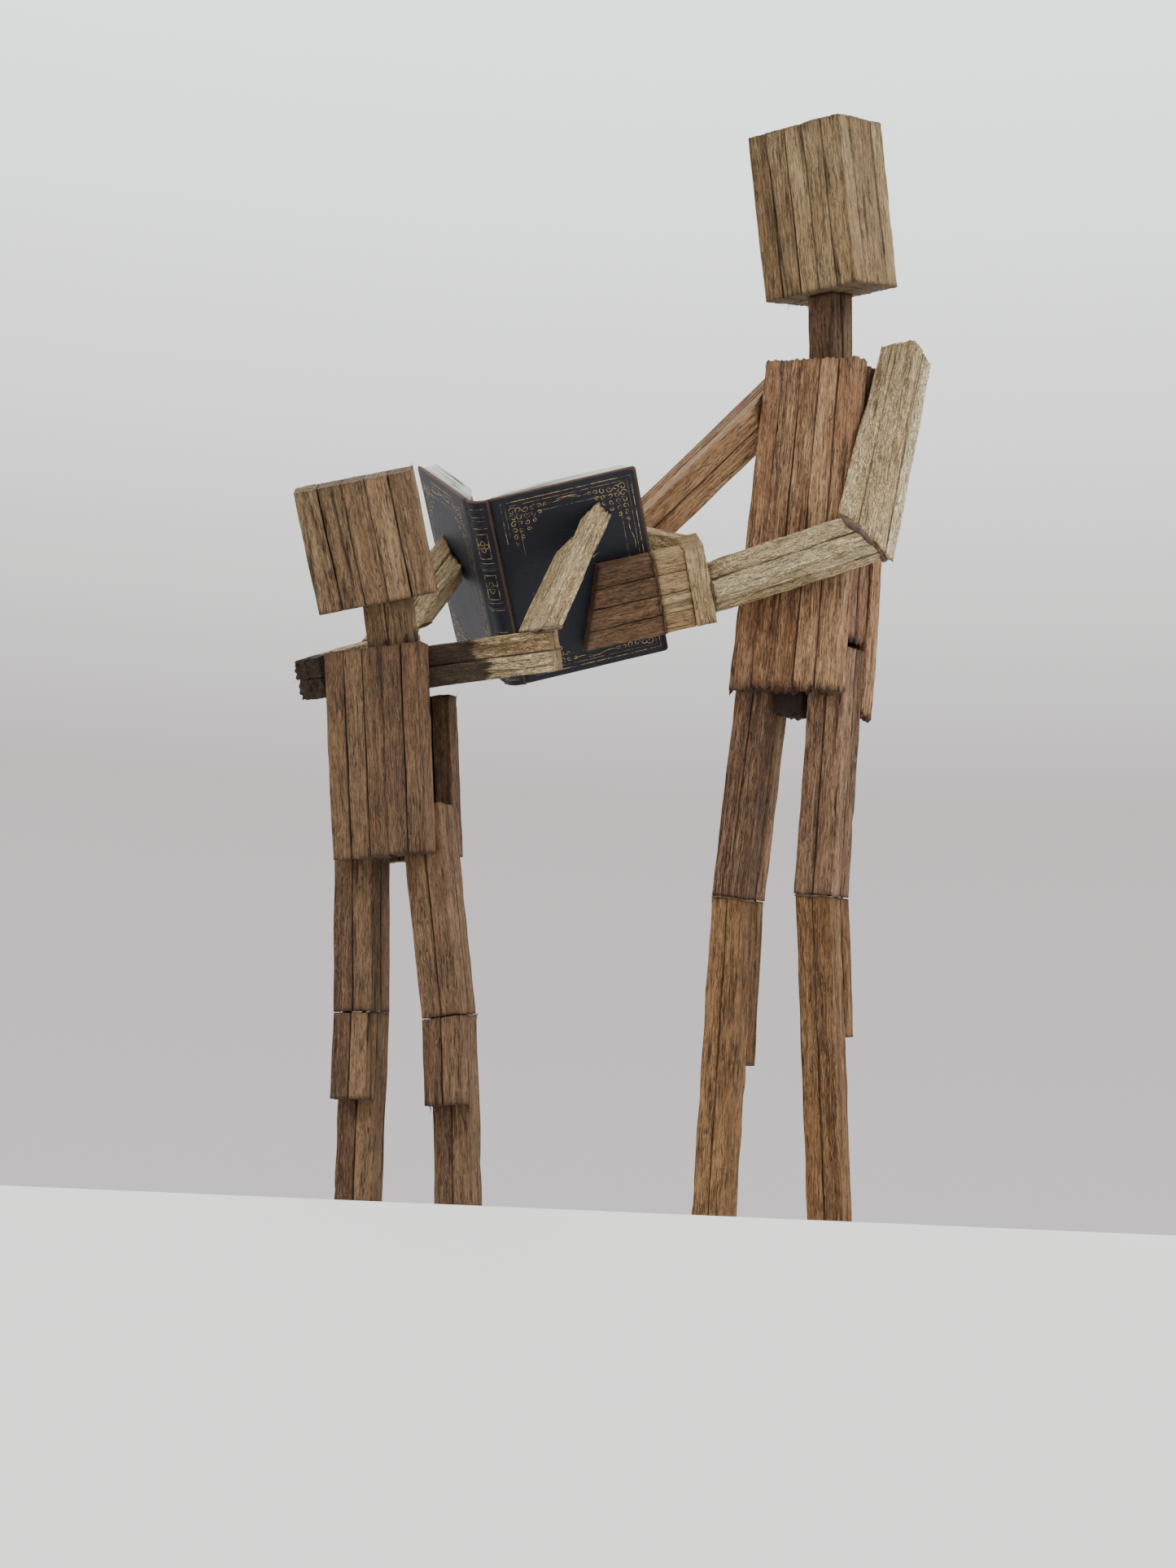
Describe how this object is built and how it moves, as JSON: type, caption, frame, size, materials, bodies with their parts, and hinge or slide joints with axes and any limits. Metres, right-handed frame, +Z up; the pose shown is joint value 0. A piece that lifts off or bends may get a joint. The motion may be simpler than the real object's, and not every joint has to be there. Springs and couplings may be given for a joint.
{
  "type": "craft stick puppet",
  "caption": "Pair of stick puppets, one tall and one short, glued up from square wooden splints, holding one open miniature book between them.",
  "frame": {"origin": "on the floor, under the middle of the bounding box", "axes": "+X from the short figure to the tall one, +Y away from the side where both are seen with the book between them, +Z up"},
  "size_m": [0.0642, 0.0364, 0.1147],
  "materials": {
    "arm_wood": "matte",
    "body_wood": "matte",
    "cover": "satin",
    "dark_wood": "matte",
    "grey_wood": "matte",
    "head_wood": "matte",
    "paper": "matte",
    "peg_wood": "matte",
    "shin_wood": "matte",
    "thigh_wood": "matte"
  },
  "bodies": {
    "large_figure_and_book": {"book_right_cover": "cover", "book_right_pages": "paper", "book_spine": "cover", "large_hip_bar": "dark_wood", "large_left_finger_1": "body_wood", "large_left_finger_2": "body_wood", "large_left_finger_3": "body_wood", "large_left_finger_4": "body_wood", "large_left_forearm": "arm_wood", "large_left_knuckles": "arm_wood", "large_left_leg_hip_pin": "peg_wood", "large_left_palm": "arm_wood", "large_left_thumb": "arm_wood", "large_left_upper_arm": "arm_wood", "large_neck": "body_wood", "large_neck_peg": "peg_wood", "large_right_forearm": "arm_wood", "large_right_leg_hip_pin": "peg_wood", "large_right_palm": "arm_wood", "large_right_upper_arm": "arm_wood", "large_torso_back": "body_wood", "large_torso_core": "body_wood", "large_torso_front": "body_wood"},
    "large_head": {"large_head_back": "head_wood", "large_head_core": "head_wood", "large_head_face": "head_wood"},
    "small_head": {"small_head_back": "grey_wood", "small_head_core": "grey_wood", "small_head_face": "grey_wood"},
    "large_left_leg": {"large_left_leg_calf": "shin_wood", "large_left_leg_shin": "shin_wood", "large_left_leg_thigh": "thigh_wood"},
    "large_right_leg": {"large_right_leg_calf": "shin_wood", "large_right_leg_shin": "shin_wood", "large_right_leg_thigh": "thigh_wood"},
    "small_left_leg": {"small_left_leg_calf": "grey_wood", "small_left_leg_shin": "grey_wood", "small_left_leg_thigh": "grey_wood"},
    "small_right_leg": {"small_right_leg_calf": "grey_wood", "small_right_leg_shin": "grey_wood", "small_right_leg_thigh": "grey_wood"},
    "book_left_leaf": {"book_left_cover": "cover", "book_left_pages": "paper"},
    "small_figure": {"small_left_forearm_far": "arm_wood", "small_left_forearm_near": "arm_wood", "small_left_leg_hip_pin": "peg_wood", "small_left_upper_arm": "grey_wood", "small_neck": "grey_wood", "small_neck_peg": "peg_wood", "small_right_forearm_far": "arm_wood", "small_right_forearm_near": "arm_wood", "small_right_leg_hip_pin": "peg_wood", "small_right_upper_arm": "grey_wood", "small_torso_back": "grey_wood", "small_torso_core": "grey_wood", "small_torso_front": "grey_wood"}
  },
  "joints": [
    {"name": "large_head_turn", "type": "hinge", "parent": "large_figure_and_book", "child": "large_head", "pos_m": [0.02146, -0.00165, 0.0968], "axis": [-0.1526, -0.2311, 0.9609], "range_deg": [-45, 45]},
    {"name": "large_right_hip", "type": "hinge", "parent": "large_figure_and_book", "child": "large_right_leg", "pos_m": [0.01629, 0.00731, 0.05807], "axis": [0.5669, 0.8183, 0.095], "range_deg": [-1, 8]},
    {"name": "large_left_hip", "type": "hinge", "parent": "large_figure_and_book", "child": "large_left_leg", "pos_m": [0.02353, 0.00243, 0.05694], "axis": [-0.5669, -0.8183, -0.095], "range_deg": [-1, 8]},
    {"name": "book_left_leaf_fold", "type": "hinge", "parent": "large_figure_and_book", "child": "book_left_leaf", "pos_m": [-0.01313, -0.00001, 0.06303], "axis": [0.2164, 0.6011, -0.7693], "range_deg": [0, 30]},
    {"name": "small_figure_step_back", "type": "slide", "parent": "large_figure_and_book", "child": "small_figure", "axis": [-0.375, -0.927, 0], "range_m": [0, 0.03]},
    {"name": "small_head_turn", "type": "hinge", "parent": "small_figure", "child": "small_head", "pos_m": [-0.0225, -0.01029, 0.05911], "axis": [-0.2273, -0.399, 0.8883], "range_deg": [-20, 15]},
    {"name": "small_left_hip", "type": "hinge", "parent": "small_figure", "child": "small_left_leg", "pos_m": [-0.02422, -0.00452, 0.03616], "axis": [0.3659, 0.9227, 0.1217], "range_deg": [-1, 8]},
    {"name": "small_right_hip", "type": "hinge", "parent": "small_figure", "child": "small_right_leg", "pos_m": [-0.017, -0.00743, 0.03657], "axis": [-0.3659, -0.9227, -0.1217], "range_deg": [-1, 8]}
  ]
}
